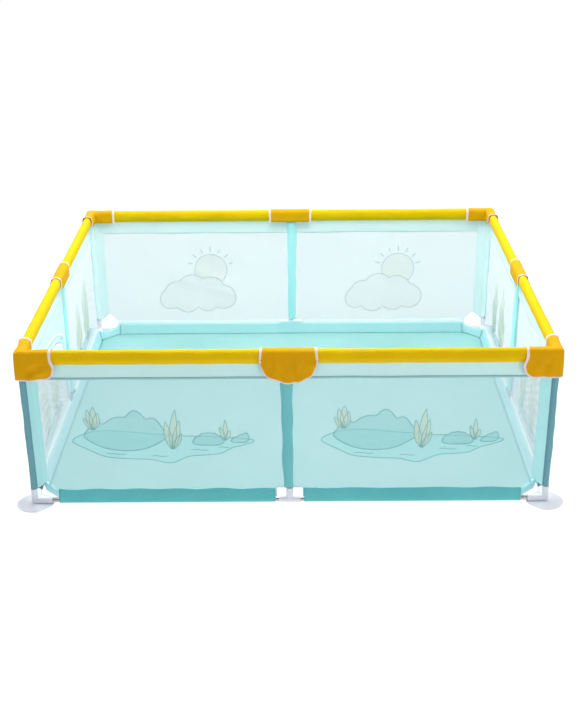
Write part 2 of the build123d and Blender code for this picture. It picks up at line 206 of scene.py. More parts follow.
def thicken(piece, thickness, offset=0.0, paintedLightInside=0):
    # paintedLightInside: how many finishes further on the cloth's back is; that finish is a lighter copy,
    # painted light on faces turned to the inside
    solid = piece.modifiers.new("cloth", "SOLIDIFY")
    solid.thickness, solid.offset = thickness, offset
    solid.material_offset = paintedLightInside
    solid.use_even_offset = False
    return piece


def tapeGrid(path, normals, wide, thick):
    # a flat oval section on a path: wide times cosine sideways plus thick times sine along the given normal
    tangents = unit(np.gradient(path, axis=0))
    sideways = unit(np.cross(tangents, normals))
    lift = np.cross(sideways, tangents)
    angle = np.linspace(0, turn, 10, endpoint=False)
    ring = (wide[:, None, None] * np.cos(angle)[None, :, None] * sideways[:, None]
            + thick * np.sin(angle)[None, :, None] * lift[:, None])
    return grid(path[:, None] + ring, wrapB=True, caps=True)


def ribbonPath(path, width):
    # two edges of a strip on a flat path, the second on its left
    tangents = unit(np.gradient(path, axis=0))
    left = np.stack([-tangents[:, 1], tangents[:, 0]], -1)
    return path[:, None] + left[:, None] * np.linspace(-width / 2, width / 2, 3)[None, :, None]


# ---- shader maths ----
class Wire:
    # a shader socket that can stand in a sum
    def __init__(self, recipe, socket):
        self.recipe, self.socket = recipe, socket

    def maths(self, operation, *values, clamp=False):
        return self.recipe.add("Math", {"operation": operation, "use_clamp": clamp}, dict(enumerate(values)))

    def __add__(self, other):
        return self.maths("ADD", self, other)

    def __sub__(self, other):
        return self.maths("SUBTRACT", self, other)

    def __rsub__(self, other):
        return self.maths("SUBTRACT", other, self)

    def __mul__(self, other):
        return self.maths("MULTIPLY", self, other)

    __radd__, __rmul__ = __add__, __mul__

    def sine(self):
        return self.maths("SINE", self)

    def cosine(self):
        return self.maths("COSINE", self)

    def above(self, edge, soft):
        # 0 below the edge, 1 above it, over a soft step
        return self.maths("MULTIPLY_ADD", self, 1 / soft, 0.5 - edge / soft, clamp=True)


class Recipe:
    # one material; add makes any node from its type, settings and sockets
    def __init__(self, name):
        self.material = bpy.data.materials.new(name)
        self.material.use_nodes = True
        self.tree = self.material.node_tree
        self.shader = self.tree.nodes["Principled BSDF"]

    def plug(self, socket, value):
        if isinstance(value, Wire):
            self.tree.links.new(value.socket, socket)
        else:
            socket.default_value = value

    def add(self, kind, settings=None, sockets=None, out=0):
        made = self.tree.nodes.new("ShaderNode" + kind)
        for key, value in (settings or {}).items():
            setattr(made, key, value)
        for key, value in (sockets or {}).items():
            self.plug(made.inputs[key], value)
        return Wire(self, made.outputs[out])

    def finish(self, **values):
        for key, value in values.items():
            self.plug(self.shader.inputs[key.replace("_", " ")], value)
        return self.material

    def uv(self):
        place = self.add("TexCoord", out="UV")
        return [self.add("SeparateXYZ", None, {0: place}, out=axis) for axis in (0, 1)]

    def noise(self, scale, detail=3.0, rough=0.55):
        place = self.add("TexCoord", out="Object")
        return self.add("TexNoise", None, {"Vector": place, "Scale": scale, "Detail": detail,
                                           "Roughness": rough})

    def mix(self, amount, first, second):
        return self.add("Mix", {"data_type": "RGBA"}, {0: amount, 6: first, 7: second}, out=2)

    def bump(self, height, strength, distance):
        return self.add("Bump", None, {"Strength": strength, "Distance": distance, "Height": height})


def rgb(*values):
    return (*values, 1.0)


def clothFinish(name, light, dark, weave=0.0011, grain=0.16):
    # plain weave: the product of two sines of the cloth's own coordinates, a thread pair per period
    r = Recipe(name)
    u, v = r.uv()
    threads = (u * (turn / weave)).sine() * (v * (turn / weave)).sine()
    cloud = r.noise(7.0, 4.0)
    speck = r.noise(420.0, 2.0)
    shade = cloud.above(0.5, 0.5) * 0.6 + threads * grain + (speck - 0.5) * 0.5 + 0.2
    height = threads * 0.5 + speck * 0.6 + r.noise(38.0, 3.0) * 1.6
    return r.finish(Base_Color=r.mix(shade, rgb(*light), rgb(*dark)), Roughness=speck * 0.14 + 0.75,
                    Normal=r.bump(height, 0.45, 0.0006), Specular_IOR_Level=0.12)


def netFinish(name, thread, cover=-0.2, pitch=0.0027):
    # a round hole where three cosines, 60 degrees apart, add up to more than the cover level
    r = Recipe(name)
    u, v = r.uv()
    wave = turn / pitch
    slope = v * (wave * 0.866)   # the sine of 60 degrees
    first = (u * wave).cosine()
    second = (u * (wave / 2) + slope).cosine()
    third = (u * (wave / 2) - slope).cosine()
    field = first + second + third
    solid = 1.0 - field.above(cover, 0.35)
    cloud = r.noise(5.0, 2.0)
    return r.finish(Base_Color=r.mix(cloud, rgb(*thread), rgb(*(0.93 * c for c in thread))),
                    Alpha=solid, Roughness=0.75, Specular_IOR_Level=0.1,
                    Normal=r.bump(field, 0.3, 0.0002))


def plasticFinish(name, colour, rough=0.36, coat=0.15):
    r = Recipe(name)
    fine, wide = r.noise(900.0, 2.0), r.noise(14.0, 3.0)
    return r.finish(Base_Color=r.mix(wide, rgb(*colour), rgb(*(0.94 * c for c in colour))),
                    Roughness=fine * 0.12 + wide * 0.08 + (rough - 0.1), Coat_Weight=coat,
                    Subsurface_Weight=0.08, Subsurface_Radius=(0.003, 0.003, 0.003),
                    Normal=r.bump(fine + wide * 0.5, 0.12, 0.0003))


def metalFinish(name, colour, rough=0.22, streak=160.0):
    # zinc skin: fine spangle and long draw marks
    r = Recipe(name)
    spangle, marks = r.noise(streak, 4.0, 0.7), r.noise(30.0, 5.0)
    return r.finish(Base_Color=r.mix(spangle, rgb(*colour), rgb(*(0.8 * c for c in colour))), Metallic=1.0,
                    Roughness=spangle * 0.16 + marks * 0.1 + (rough - 0.08),
                    Normal=r.bump(spangle, 0.1, 0.0002))


# a cloth's light and dark shade, then its weave and how far the weave shades it, where they differ
cloths = {
    "rail": ((0.84, 0.56, 0.001), (0.76, 0.48, 0.001)),
    "cover": ((0.78, 0.41, 0.001), (0.7, 0.345, 0.001)),
    "aqua": ((0.67, 0.97, 0.98), (0.6, 0.92, 0.93)),
    "surround": ((0.78, 0.92, 0.95), (0.70, 0.88, 0.92)),
    # a lighter copy of the aqua and teal cloths for faces turned to the inside of the pen: painted light
    "paintedLightInside": ((0.84, 0.95, 0.96), (0.78, 0.93, 0.94)),
    "teal": ((0.17, 0.64, 0.66), (0.125, 0.54, 0.57)),
    "mid": ((0.21, 0.63, 0.66), (0.17, 0.56, 0.585)),
    # the corner wings' own light aqua, also put on the middle sleeves' inner faces as painted light
    "sleeve": ((0.53, 0.96, 0.98), (0.46, 0.89, 0.92)),
    # a darker copy of the wing cloth for the round part of the corner sleeves: painted shade
    "tube": ((0.19, 0.43, 0.5), (0.155, 0.375, 0.435)),
    "mat": ((0.325, 0.6, 0.585), (0.285, 0.56, 0.55), 0.0009, 0.1),
    # a lighter copy of the mat cloth for its raised edges: painted light
    "rim": ((0.5, 0.83, 0.86), (0.45, 0.79, 0.82), 0.0009, 0.1),
    "hem": ((0.78, 0.92, 0.95), (0.67, 0.97, 0.98), 0.0008),
    "seam": ((0.33, 0.58, 0.61), (0.33, 0.58, 0.61), 0.0008),
    "piping": ((0.90, 0.74, 0.71), (0.90, 0.74, 0.71), 0.0008),
}
# a net's or a print's thread, then the level above which it is open
nets = {
    "netCloth": ((0.58, 0.74, 0.80), -0.2), "doorNetCloth": ((0.66, 0.79, 0.85), -0.2),
    "printPond": ((0.48, 0.80, 0.83), -0.6), "printBush": ((0.34, 0.68, 0.69), -0.9),
    "printReed": ((0.74, 0.84, 0.66), -0.3), "printCloud": ((0.66, 0.78, 0.80), -0.6),
    "printSun": ((0.58, 0.72, 0.68), -0.4), "printLine": ((0.10, 0.36, 0.38), 0.0),
}
fabric = {name: clothFinish(name + "Cloth", *values) for name, values in cloths.items()}
netting = {name: netFinish(name, *values) for name, values in nets.items()}
whitePlastic = plasticFinish("whitePlastic", (0.8, 0.84, 0.92))
cupSilicone = plasticFinish("cupSilicone", (0.62, 0.66, 0.7), rough=0.25, coat=0.3)
zincSteel = metalFinish("zincSteel", (0.55, 0.56, 0.58))
nickel = metalFinish("nickel", (0.55, 0.55, 0.55), rough=0.3, streak=500.0)
print("finishes made")


# ---- CAD nodes that keep their shape ----
def dress(prefixes, finish):
    for name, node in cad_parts.items():
        if name.startswith(prefixes):
            node.data.materials.clear()
            node.data.materials.append(finish)


dress(("top_tubes", "bottom_tubes", "corner_post_front", "corner_post_back", "mid_posts"), zincSteel)
dress(("top_corner_connector", "top_mid_connector", "bottom_mid_connector", "foot_connector"), whitePlastic)
dress(("suction_cups",), cupSilicone)
dress(("zip_track",), fabric["hem"])
dress(("zip_slider", "zip_pull"), nickel)
print("frame dressed")

# ---- padded rails ----
rail = {
    "cornerGap": 0.070, "midGap": 0.045,   # ends, from the corner's and the middle's axis
    "square": 0.78,        # exponent of the section's sine and cosine, under 1 squares it
    "taper": 0.42,         # how much narrower the lower half gets at its bottom
    "pucker": 0.0010, "puckerReach": 0.07,
    "ripple": 0.0007, "step": 0.006, "around": 40,
}
railMiddle = (railLow + railHigh) / 2
railHalfHigh = (railHigh - railLow) / 2
railHalfWide = -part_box("rail_sleeve_front")[0][1] - postY


def railRun(side, start, end, seed):
    # section: n and h are powers of cosine and sine; the skin turns in at its ends to the tube
    d = rail
    count = int((end - start) / d["step"])
    s = np.linspace(start, end, count)
    nearEnd = np.minimum(s - start, end - s)
    angle = np.linspace(0, turn, d["around"], endpoint=False)
    c, k = np.cos(angle), np.sin(angle)
    n = railHalfWide * np.sign(c) * np.abs(c) ** d["square"] * (1 - d["taper"] * np.clip(-k, 0, 1) ** 1.4)
    h = railHalfHigh * np.sign(k) * np.abs(k) ** d["square"]
    outward = unit(np.stack([c / railHalfWide, k / railHalfHigh], -1))
    a, b = s[:, None], angle[None] / turn
    bump = d["ripple"] * ripples(a, b, seed, 5.0) * np.sin(angle * 2 + 1)[None] ** 2
    close = np.exp(-nearEnd / d["puckerReach"])[:, None]
    bump = bump + d["pucker"] * close * np.sin(turn * 14 * b + 3 * ripples(a, b, seed + 1, 3.0))
    bump = bump - 0.0008 - 0.0022 * np.exp(-nearEnd / 0.004)[:, None]
    # a pressed line where the upper and the lower half meet
    bump = bump - 0.0022 * np.exp(-((angle / turn - 0.02) / 0.014) ** 2)[None]
    outerN = n[None] + outward[None, :, 0] * bump
    outerH = h[None] + outward[None, :, 1] * bump
    hole = tubeRadius + 0.0007
    s = np.concatenate([s, [end, start]])
    outerN = np.concatenate([outerN, np.tile(hole * c, (2, 1))])
    outerH = np.concatenate([outerH, np.tile(hole * k, (2, 1)) + topZ - railMiddle])
    return grid(side.at(s[:, None], railMiddle + outerH, outerN), wrapA=True, wrapB=True)


for index, (name, side) in enumerate(sides.items()):
    runs = [railRun(side, -side.half + rail["cornerGap"], -rail["midGap"], 10 * index),
            railRun(side, rail["midGap"], side.half - rail["cornerGap"], 10 * index + 5)]
    padded = build("padded_rail_" + name, runs, [fabric["rail"]])
    place(padded, "frame", "yellow_cloth")
    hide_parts("rail_sleeve_" + name, "rail_foam")
print("rails padded")


# ---- band under each rail, with its seam ----
skirt = {"wave": 0.0014, "step": 0.012, "seamWide": 0.0085, "thick": 0.0009}
midWing = 0.0110   # where the walls start, inside the middle sleeve
bandEnd = 0.0165   # where the bands end, short of the corner connector
for index, (name, side) in enumerate(sides.items()):
    bands, seams = [], []
    for bay in (-1, 1):
        ends = sorted((bay * midWing, bay * (side.half - bandEnd)))
        s = np.linspace(*ends, int((ends[1] - ends[0]) / skirt["step"]))
        h = np.linspace(skirtLow, railLow + 0.004, 9)
        t = (s - ends[0]) / (ends[1] - ends[0])
        hang = ramp(h, skirtHigh, skirtLow)[None] * np.sin(math.pi * t)[:, None] ** 0.4
        n = skirt["wave"] * hang * ripples(s[:, None], h[None], 40 + index * 2 + bay, 2.6)
        bands.append(grid(side.at(s[:, None], h[None], n)))
        across = np.linspace(-0.5, 0.5, 5)
        crown = 0.0013 + 0.0006 * (1 - 4 * across ** 2)
        low = skirtLow + 0.5 * skirt["seamWide"] + across * skirt["seamWide"]
        base = n[:, 0][:, None] + 0 * low[None]
        if (name, bay) != ("left", 1):
            seams.append(grid(side.at(s[:, None], low[None], base + crown[None])))
    # the band's back, facing the inside, takes the lighter copy of the cloth: painted light
    band = build("rail_band_" + name, bands, [fabric["aqua"], fabric["paintedLightInside"]])
    thicken(band, skirt["thick"], paintedLightInside=1)
    seam = thicken(build("rail_band_seam_" + name, seams, [fabric["seam"]]), 0.0004)
    for piece in (band, seam):
        place(piece, "frame", "aqua_cloth")
    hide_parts("rail_skirts")
    "padded_rail_" + name
print("bands hung")


# ---- net panels ----
net = {"wave": 0.0021, "pull": 0.004, "cut": 0.038, "stepS": 0.012, "rows": 32}


class Panel:
    # a bay's wall between two post sleeves: wave gives how far the cloth stands off its plane
    def __init__(self, side, bay, seed):
        self.side, self.seed = side, seed
        # the print is on the face seen from the front of the playpen
        self.face = 1 if side is sides["front"] else -1
        self.outer = bay * (side.half - cornerWing)
        self.left, self.right = sorted((bay * midWing, self.outer))
        self.middle = (self.left + self.right) / 2

    def low(self, s):
        return netLow + np.maximum(0, np.abs(s) - (abs(self.outer) - net["cut"]))

    def wave(self, s, h):
        a = np.clip((s - self.left) / (self.right - self.left), 0, 1)
        b = np.clip((h - netLow) / (netHigh - netLow), 0, 1)
        hold = np.sin(math.pi * a) ** 0.7 * np.sin(math.pi * b) ** 0.7
        folds = ripples(a, b, self.seed, 1.6, 4) + 0.35 * ripples(a, b, self.seed + 3, 5.0, 4)
        # folds that run up from the lower corners, where the cloth is pulled
        away = np.hypot(np.abs(s - self.outer), h - netLow)
        steep = np.arctan2(h - netLow, np.abs(s - self.outer) + 1e-6)
        pull = net["pull"] * np.exp(-away / 0.11) * np.sin(9 * steep) * np.clip(away / 0.05, 0, 1)
        return hold * (net["wave"] * folds + pull)

    def at(self, s, h, lift=0.0):
        return self.side.at(s, h, self.wave(s, h) + self.face * lift)


def sheetGrid(panel, s, low, high, rows, lift=0.0, finish=0):
    # a column of cloth over each s, from a lower to an upper edge
    h = low[:, None] + (high - low)[:, None] * np.linspace(0, 1, rows)[None]
    s = s[:, None] + 0 * h
    return grid(panel.at(s, h, lift), uv=np.stack([s, h], -1), finish=finish)


def netGrid(panel, start, end, stepS=net["stepS"]):
    s = np.linspace(start, end, max(4, int((end - start) / stepS)))
    return sheetGrid(panel, s, panel.low(s), 0 * s + netHigh, net["rows"])


def stripGrid(panel, path, width, lift, finish=0):
    strip = ribbonPath(path, width)
    crown = lift * np.array([0.6, 1.0, 0.6])[None]
    return grid(panel.at(strip[..., 0], strip[..., 1], crown), uv=strip, finish=finish)


# ---- printed pattern: plain pond, bushes, reeds, cloud and sun ----
prints = {"lift": 0.0007, "line": 0.0034, "rows": 14}


def shape(panel, s, low, high, finish, lift, lineLift):
    # a filled shape between two edges, and its outline
    loop = np.concatenate([np.stack([s, high], -1), np.stack([s, low], -1)[::-1]])
    strip = ribbonPath(loop, prints["line"])
    return [sheetGrid(panel, s, low, high, prints["rows"], prints["lift"] * lift, finish),
            grid(panel.at(strip[..., 0], strip[..., 1], prints["lift"] * lineLift), uv=strip, finish=3)]


def spread(left, right, count=44):
    # stations that crowd towards both ends
    return left + (right - left) * (1 - np.cos(np.linspace(0, math.pi, count))) / 2


def blob(panel, left, right, low, high, finish, level=1):
    # low and high are functions of x, 0 to 1 across; a fourth-power end keeps the ends round
    s = spread(panel.middle + left, panel.middle + right)
    x = (s - s[0]) / (s[-1] - s[0])
    end = np.maximum(1 - (2 * x - 1) ** 4, 0) ** 0.5
    middle, half = (low(x) + high(x)) / 2, (high(x) - low(x)) / 2
    low, high = middle - half * end, middle + half * end
    return shape(panel, s, low, high, finish, level, level * 1.25)


def scallops(x, bumps, rise):
    return rise * np.abs(np.sin(math.pi * bumps * x)) ** 0.6


def leaf(panel, foot, lean, length, width, bend, level):
    # centre line: along the lean plus bend times the square of the way; half width is a sine
    t = np.linspace(0, 1, 18)
    way = np.array([math.sin(lean), math.cos(lean)])
    left = np.array([-way[1], way[0]])
    base = np.array([panel.middle + foot[0], foot[1]])
    centre = base + length * (t[:, None] * way - bend * t[:, None] ** 2 * left)
    half = 1.3 * width * (np.sin(math.pi * np.clip(t * 0.97 + 0.03, 0, 1)) ** 0.8 * (1 - 0.25 * t) + 0.02)
    w = np.linspace(-1, 1, 5)
    points = centre[:, None] + w[None, :, None] * half[:, None, None] * left
    lift = prints["lift"] * level
    body = grid(panel.at(points[..., 0], points[..., 1], lift), uv=points, finish=2)
    rim = np.concatenate([points[:, 0], points[::-1, -1]])
    strip = ribbonPath(rim, prints["line"] * 0.7)
    edge = grid(panel.at(strip[..., 0], strip[..., 1], lift * 1.1), uv=strip, finish=3)
    return [body, edge]


def tuft(panel, foot, leaves, level=3):
    made = []
    for lean, length, width, bend in leaves:
        made += leaf(panel, foot, lean, length, width, bend, level=level)
    return made


def pondPrint(panel):
    parts = blob(panel, -0.345, 0.335, lambda x: ease(x, [0, 0.2, 0.42, 0.53, 0.66, 0.8, 0.9, 1],
                                                      [0.235, 0.198, 0.193, 0.176, 0.208, 0.212, 0.24, 0.25]),
                 lambda x: ease(x, [0, 0.12, 0.5, 0.62, 0.86, 1], [0.31, 0.322, 0.30, 0.292, 0.287, 0.288]), 0)
    parts += blob(panel, -0.30, 0.01, lambda x: 0.262 - 0.032 * np.sin(math.pi * x),
                  lambda x: ease(x, [0, 0.3, 0.62, 0.82, 1], [0.318, 0.34, 0.372, 0.35, 0.318])
                  + scallops(x, 4, 0.026), 1, 2)
    parts += blob(panel, 0.105, 0.222, lambda x: 0.252 + 0 * x,
                  lambda x: 0.278 + 0.02 * np.sin(math.pi * x) + scallops(x, 5, 0.008), 1, 2)
    parts += blob(panel, 0.248, 0.315, lambda x: 0.262 + 0 * x,
                  lambda x: 0.272 + 0.03 * x + scallops(x, 3, 0.008), 1, 2)
    parts += tuft(panel, (-0.262, 0.320), [(-0.75, 0.06, 0.008, 0.1), (-0.35, 0.085, 0.010, 0.1),
                                            (0.02, 0.094, 0.012, 0.0), (0.36, 0.072, 0.011, -0.1)], 3)
    parts += tuft(panel, (0.028, 0.238), [(-0.32, 0.115, 0.011, 0.12), (0.04, 0.16, 0.012, 0.05),
                                           (0.34, 0.12, 0.010, -0.1), (0.62, 0.075, 0.009, -0.1)], 3)
    parts += tuft(panel, (0.228, 0.272), [(-0.45, 0.06, 0.006, 0.1), (0.0, 0.085, 0.007, 0.0),
                                           (0.5, 0.045, 0.006, -0.1)], 3)
    # short water lines on the pond
    lines = [(-0.22, 0.216, 0.07), (-0.05, 0.207, 0.055), (0.10, 0.232, 0.06), (0.2, 0.243, 0.04)]
    for left, height, length in lines:
        s = panel.middle + left + np.linspace(0, length, 12)
        path = np.stack([s, height + 0.002 * np.sin(np.linspace(0, turn, 12))], -1)
        parts.append(stripGrid(panel, path, 0.003, prints["lift"] * 2, 3))
    return parts


def cloudPrint(panel):
    # the sun stands behind the cloud, off its middle, with rays fanned over its top
    sunPlace, height, radius = -0.068, 0.335, 0.08
    s = spread(sunPlace - radius, sunPlace + radius)
    disc = radius * np.sqrt(np.maximum(1 - ((s - sunPlace) / radius) ** 2, 0))
    parts = shape(panel, s + panel.middle, height - disc, height + disc, 2, 1, 1.3)
    for angle in np.linspace(-1.25, 1.25, 7):
        reach = np.linspace(0.094, 0.118, 4)[:, None]
        way = np.array([math.sin(angle), math.cos(angle)])
        path = np.array([panel.middle + sunPlace, height]) + reach * way
        parts.append(stripGrid(panel, path, 0.005, prints["lift"], 3))
    # the cloud is the outer edge of overlapping circles: place across, height, radius
    across, up, radius = np.array([(-0.128, 0.192, 0.062), (-0.066, 0.228, 0.070), (0.026, 0.236, 0.074),
                                   (0.104, 0.214, 0.060), (0.140, 0.182, 0.052), (-0.046, 0.180, 0.062),
                                   (0.056, 0.176, 0.064)]).T[:, :, None]
    cloud = spread(-0.190, 0.192, 120)
    bulge = np.sqrt(np.maximum(radius ** 2 - (cloud - across) ** 2, 0))
    inside = np.abs(cloud - across) <= radius + 1e-9
    high, low = np.where(inside, up + bulge, 0).max(0), np.where(inside, up - bulge, 1).min(0)
    return parts + shape(panel, cloud + panel.middle, low, high, 0, 1.6, 2)


# lean, length, width and bend of each leaf of a tall tuft
reedLeaves = [(-0.55, 0.19, 0.020, 0.14), (-0.22, 0.28, 0.024, 0.08), (0.08, 0.31, 0.026, -0.03),
              (0.4, 0.24, 0.022, -0.1), (0.75, 0.15, 0.017, -0.12)]


def reedPrint(panel):
    parts = []
    for foot, flip, size in (((-0.10, 0.115), 1, 1.0), ((0.12, 0.13), -1, 0.8)):
        leaves = [(lean * flip, length * size, width, bend * flip) for lean, length, width, bend in reedLeaves]
        parts += tuft(panel, foot, leaves, 1)
    parts += blob(panel, -0.2, 0.2, lambda x: 0.10 + 0 * x, lambda x: 0.128 + scallops(x, 6, 0.02), 1, 2)
    return parts


printFinishes = [netting["print" + part] for part in ("Pond", "Bush", "Reed", "Line")]
skyFinishes = [netting["print" + part] for part in ("Cloud", "Cloud", "Sun", "Line")]
printFor = {"front": pondPrint, "back": cloudPrint, "right": reedPrint, "left": reedPrint}
netNodes = {"front": "net_panels_front", "right": "net_panels_right", "back": "net_panels_back",
            "left": "net_panel_left_rear"}
panels = {}
for index, (name, side) in enumerate(sides.items()):
    for bay in (-1, 1):
        panel = Panel(side, bay, 70 + 10 * index + bay)
        panels[name, bay] = panel
        if (name, bay) == ("left", 1):
            continue
        tag = f"{name}_{'a' if bay < 0 else 'b'}"
        cloth = build("net_panel_" + tag, [netGrid(panel, panel.left, panel.right)], [netting["netCloth"]])
        inks = skyFinishes if name == "back" else printFinishes
        pattern = build("net_print_" + tag, printFor[name](panel), inks)
        for piece in (cloth, pattern):
            place(piece, "frame", "net")
        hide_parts(netNodes[name])
        area = (panel.right - panel.left) * (netHigh - netLow) - net["cut"] ** 2 / 2
        panel.right - panel.left
        "rail_band_" + name
print("nets hung")

# ---- gate: arched door, its surround and the zip ----
gateLow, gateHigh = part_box("gate_door")
archLow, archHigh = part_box("zip_track_door")
gate = {
    "arch": 0.760, "corner": 0.060,              # radii of the wide arc and of its two corners
    "fixed": 0.0044, "binding": 0.016, "teethPitch": 0.0021,
    "tooth": (0.0011, 0.0022, 0.0026),           # along the zip, across it, through it
}
zipGap = 0.0008
gateMiddle = -(gateLow[1] + gateHigh[1]) / 2
gateHalf = (archHigh[1] - archLow[1]) / 2 + zipGap
sill = gateLow[2]
crown = archHigh[2] + zipGap
archCentre = crown - gate["arch"]
gatePanel = panels["left", 1]


def archTop(s, grow=0.0):
    # height of the outline: the wide arc's circle, or the corner's circle past their common point
    wide, small, half = gate["arch"] + grow, gate["corner"] + grow, gateHalf + grow
    centreX = half - small
    centreZ = archCentre + math.sqrt((wide - small) ** 2 - centreX ** 2)
    d = np.clip(np.abs(s - gateMiddle), 0, half)
    onWide = archCentre + np.sqrt(np.maximum(wide ** 2 - d ** 2, 0))
    onSmall = centreZ + np.sqrt(np.maximum(small ** 2 - (d - centreX) ** 2, 0))
    return np.where(d < centreX * wide / (wide - small), onWide, onSmall)


def archPath(grow=0.0, count=360):
    # from the right foot of the outline over the top to its left foot, evenly spaced
    half = gateHalf + grow
    s = spread(gateMiddle - half, gateMiddle + half, 400)[::-1]
    top = np.stack([s, archTop(s, grow)], -1)
    right = np.array([[gateMiddle + half, sill + 0.001]])
    left = np.array([[gateMiddle - half, sill + 0.001]])
    path = np.concatenate([right, top, left])
    way = lengths(path)
    even = np.linspace(0, way[-1], count)
    return np.stack([np.interp(even, way, path[:, 0]), np.interp(even, way, path[:, 1])], -1)


def archGrid(half, low, high):
    # columns under or over the arch, crowded towards its two ends
    s = spread(gateMiddle - half, gateMiddle + half, 90)
    return sheetGrid(gatePanel, s, low(s), high(s), 28)


grow = gate["fixed"]
fixedHalf = gateHalf + grow
surroundGrids = [
    netGrid(gatePanel, gatePanel.left, gateMiddle - fixedHalf),
    netGrid(gatePanel, gateMiddle + fixedHalf, gatePanel.right, 0.006),
    archGrid(fixedHalf, lambda s: archTop(s, grow), lambda s: 0 * s + netHigh),
    archGrid(fixedHalf, lambda s: 0 * s + netLow, lambda s: 0 * s + sill - 0.003),
]
surround = thicken(build("gate_surround_cloth", surroundGrids, [fabric["surround"]]), 0.0008)
doorGrid = archGrid(gateHalf - grow, lambda s: 0 * s + sill, lambda s: archTop(s, -grow))
door = build("gate_door_net", [doorGrid], [netting["doorNetCloth"]])
doorPattern = build("gate_door_print", reedPrint(gatePanel), printFinishes)


def boundEdge(name, distance, finish, body):
    path = archPath(distance)
    strips = [stripGrid(gatePanel, path, gate["binding"], 0.0011),
              stripGrid(gatePanel, path[::-1], gate["binding"], -0.0011)]
    piece = thicken(build(name, strips, [finish]), 0.0004)
    place(piece, body, "zip_tape")
    return piece


def zipTeeth(name, distance, shift, body):
    # one small block per pitch, set across the path, all made at once from eight corners
    path = archPath(distance, 4000)
    way = lengths(path)
    along = np.arange(0.004 + shift, way[-1] - 0.004, gate["teethPitch"])
    centre = np.stack([np.interp(along, way, path[:, i]) for i in (0, 1)], -1)
    ahead = np.stack([np.interp(along + 0.0005, way, path[:, i]) for i in (0, 1)], -1)
    tangent = unit(ahead - centre)
    left = np.stack([-tangent[:, 1], tangent[:, 0]], -1)
    signs = np.array([[i, j, k] for i in (-1, 1) for j in (-1, 1) for k in (-1, 1)]) / 2
    long, wide, deep = gate["tooth"]
    flat = (centre[:, None] + signs[None, :, :1] * long * tangent[:, None]
            + signs[None, :, 1:2] * wide * left[:, None])
    base = gatePanel.wave(flat[..., 0], flat[..., 1])
    points = gatePanel.side.at(flat[..., 0], flat[..., 1], base + signs[None, :, 2] * deep)
    quads = np.array([[0, 1, 3, 2], [4, 6, 7, 5], [0, 4, 5, 1], [2, 3, 7, 6], [0, 2, 6, 4], [1, 5, 7, 3]])
    faces = (np.arange(len(along))[:, None, None] * 8 + quads[None]).reshape(-1, 4)
    mesh = bpy.data.meshes.new(name)
    mesh.from_pydata(points.reshape(-1, 3).tolist(), [], faces.tolist())
    mesh.uv_layers.new(name="UVMap")
    mesh.materials.append(fabric["hem"])
    piece = bpy.data.objects.new(name, mesh)
    bpy.context.scene.collection.objects.link(piece)
    place(piece, body, "zip_tape")
    return piece


fixedTape = boundEdge("gate_binding_fixed", grow + gate["binding"] / 2, fabric["hem"], "frame")
doorTape = boundEdge("gate_binding_door", -grow - gate["binding"] / 2, fabric["hem"], "gate_door")
fixedTeeth = zipTeeth("zip_teeth_fixed", 0.0021, 0.0, "frame")
doorTeeth = zipTeeth("zip_teeth_door", -0.0021, gate["teethPitch"] / 2, "gate_door")
place(surround, "frame", "aqua_cloth")
place(door, "gate_door", "net")
place(doorPattern, "gate_door", "net")
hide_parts("gate_surround")
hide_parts("gate_door")
panelArea = (gatePanel.right - gatePanel.left) * (netHigh - netLow) - net["cut"] ** 2 / 2
archS = np.linspace(gateMiddle - gateHalf, gateMiddle + gateHalf, 400)
doorArea = 2 * gateHalf * float((archTop(archS) - sill).mean())
gatePanel.right - gatePanel.left
panelArea - doorArea
crown - sill
print("gate made")

# ---- sleeves on the posts ----
sleeveTop = railLow - 0.003
sleeve = {"ring": tubeRadius + 0.0016, "wall": 0.0009, "rows": 70, "rise": 0.028, "wingCloth": 0.0013,
          "widen": 0.3,
          "right": 0.0135, "left": 0.0225, "midRound": 0.098}   # the middle sleeves' half widths and way round


def overSocket(h):
    return ramp(h, postSleeveHigh - 0.016, postSleeveHigh)


def cornerLoop():
    # plan of the sleeve about the post: wing, round the outside of the tube, wing, and back inside
    wing, flat, ring = cornerWing + 0.0005, sleeve["wingCloth"], sleeve["ring"]
    meet = math.sqrt(ring ** 2 - flat ** 2)
    out = np.linspace(wing, meet, 12, endpoint=False)
    outer = np.linspace(-math.asin(flat / ring), -turn * 0.75 + math.asin(flat / ring), 22)
    inner = np.linspace(turn / 4 - math.asin(flat / ring), math.asin(flat / ring), 8)
    u = np.concatenate([out, ring * np.cos(outer), np.full(12, -flat), [0.0], np.full(12, flat),
                        ring * np.cos(inner), out[::-1]])
    v = np.concatenate([np.full(12, -flat), ring * np.sin(outer), out[::-1], [wing + 0.0004], out,
                        ring * np.sin(inner), np.full(12, flat)])
    # the round part over the tube takes a darker copy of the cloth, painted shade where it turns away from the
    # light, and what faces the inside takes the lightest copy, painted light
    finish = np.where(np.arange(len(u)) > 46, 2, np.hypot(u, v) < 0.0165)
    return u, v, finish


